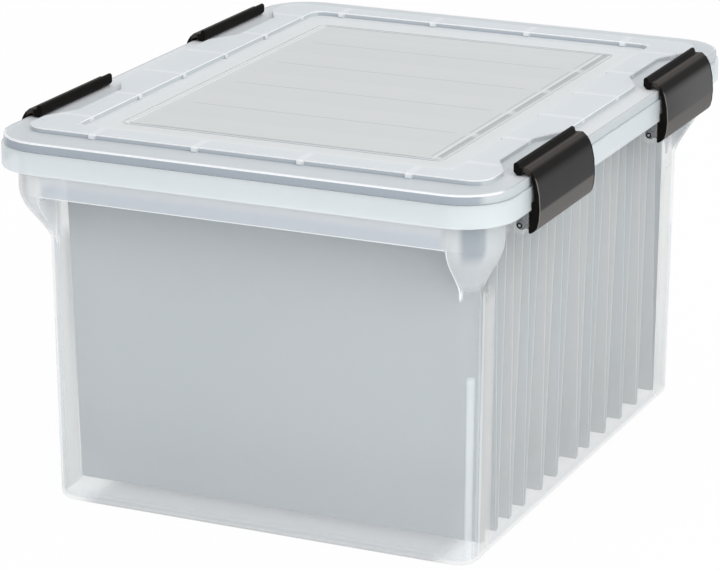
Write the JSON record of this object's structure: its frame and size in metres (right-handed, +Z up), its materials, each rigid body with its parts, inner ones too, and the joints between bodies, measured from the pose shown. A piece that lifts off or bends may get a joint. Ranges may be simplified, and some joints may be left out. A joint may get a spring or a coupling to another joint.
{
  "type": "portable file box",
  "caption": "Clear plastic file box with a stacking lid, four black side latches and a row of card folders that hang on its long rails.",
  "frame": {"origin": "centre of the tub's base, on the surface that the box rests on", "axes": "+Z up, +X across the box towards its right latches, +Y along the box towards its back; the picture shows the end that faces -Y"},
  "size_m": [0.3752, 0.456, 0.2686],
  "materials": {
    "tub": "clear polypropylene, lightly frosted",
    "lid": "clear polypropylene, glossy",
    "seal": "translucent soft strip",
    "latch": "black, satin",
    "card": "matte card",
    "rod": "bare steel strip"
  },
  "bodies": {
    "tub_body": {"tub": "tub"},
    "lid_body": {"lid": "lid", "seal": "seal"},
    "latch_body_front_left": {"latch_front_left": "latch"},
    "latch_body_front_right": {"latch_front_right": "latch"},
    "latch_body_back_left": {"latch_back_left": "latch"},
    "latch_body_back_right": {"latch_back_right": "latch"},
    "folder_body_01": {"folder_01": "card", "rods_01": "rod"},
    "folder_body_02": {"folder_02": "card", "rods_02": "rod"},
    "folder_body_03": {"folder_03": "card", "rods_03": "rod"},
    "folder_body_04": {"folder_04": "card", "rods_04": "rod"},
    "folder_body_05": {"folder_05": "card", "rods_05": "rod"},
    "folder_body_06": {"folder_06": "card", "rods_06": "rod"},
    "folder_body_07": {"folder_07": "card", "rods_07": "rod"},
    "folder_body_08": {"folder_08": "card", "rods_08": "rod"},
    "folder_body_09": {"folder_09": "card", "rods_09": "rod"},
    "folder_body_10": {"folder_10": "card", "rods_10": "rod"},
    "folder_body_11": {"folder_11": "card", "rods_11": "rod"},
    "folder_body_12": {"folder_12": "card", "rods_12": "rod"}
  },
  "joints": [
    {"name": "lid_lift", "type": "slide", "parent": "tub_body", "child": "lid_body", "axis": [0, 0, 1], "range_m": [0, 0.0003]},
    {"name": "latch_front_left_hinge", "type": "hinge", "parent": "tub_body", "child": "latch_body_front_left", "pos_m": [-0.17523, -0.1198, 0.2287], "axis": [0, -1, 0], "range_deg": [0, 135]},
    {"name": "latch_front_right_hinge", "type": "hinge", "parent": "tub_body", "child": "latch_body_front_right", "pos_m": [0.17523, -0.1198, 0.2287], "axis": [0, 1, 0], "range_deg": [0, 135]},
    {"name": "latch_back_left_hinge", "type": "hinge", "parent": "tub_body", "child": "latch_body_back_left", "pos_m": [-0.17523, 0.1198, 0.2287], "axis": [0, -1, 0], "range_deg": [0, 135]},
    {"name": "latch_back_right_hinge", "type": "hinge", "parent": "tub_body", "child": "latch_body_back_right", "pos_m": [0.17523, 0.1198, 0.2287], "axis": [0, 1, 0], "range_deg": [0, 135]},
    {"name": "folder_slide_01", "type": "slide", "parent": "tub_body", "child": "folder_body_01", "axis": [0, 1, 0], "range_m": [-0.007, 0.007]},
    {"name": "folder_slide_02", "type": "slide", "parent": "tub_body", "child": "folder_body_02", "axis": [0, 1, 0], "range_m": [-0.007, 0.007]},
    {"name": "folder_slide_03", "type": "slide", "parent": "tub_body", "child": "folder_body_03", "axis": [0, 1, 0], "range_m": [-0.007, 0.007]},
    {"name": "folder_slide_04", "type": "slide", "parent": "tub_body", "child": "folder_body_04", "axis": [0, 1, 0], "range_m": [-0.007, 0.007]},
    {"name": "folder_slide_05", "type": "slide", "parent": "tub_body", "child": "folder_body_05", "axis": [0, 1, 0], "range_m": [-0.007, 0.007]},
    {"name": "folder_slide_06", "type": "slide", "parent": "tub_body", "child": "folder_body_06", "axis": [0, 1, 0], "range_m": [-0.007, 0.007]},
    {"name": "folder_slide_07", "type": "slide", "parent": "tub_body", "child": "folder_body_07", "axis": [0, 1, 0], "range_m": [-0.007, 0.007]},
    {"name": "folder_slide_08", "type": "slide", "parent": "tub_body", "child": "folder_body_08", "axis": [0, 1, 0], "range_m": [-0.007, 0.007]},
    {"name": "folder_slide_09", "type": "slide", "parent": "tub_body", "child": "folder_body_09", "axis": [0, 1, 0], "range_m": [-0.007, 0.007]},
    {"name": "folder_slide_10", "type": "slide", "parent": "tub_body", "child": "folder_body_10", "axis": [0, 1, 0], "range_m": [-0.007, 0.007]},
    {"name": "folder_slide_11", "type": "slide", "parent": "tub_body", "child": "folder_body_11", "axis": [0, 1, 0], "range_m": [-0.007, 0.007]},
    {"name": "folder_slide_12", "type": "slide", "parent": "tub_body", "child": "folder_body_12", "axis": [0, 1, 0], "range_m": [-0.007, 0.007]}
  ]
}
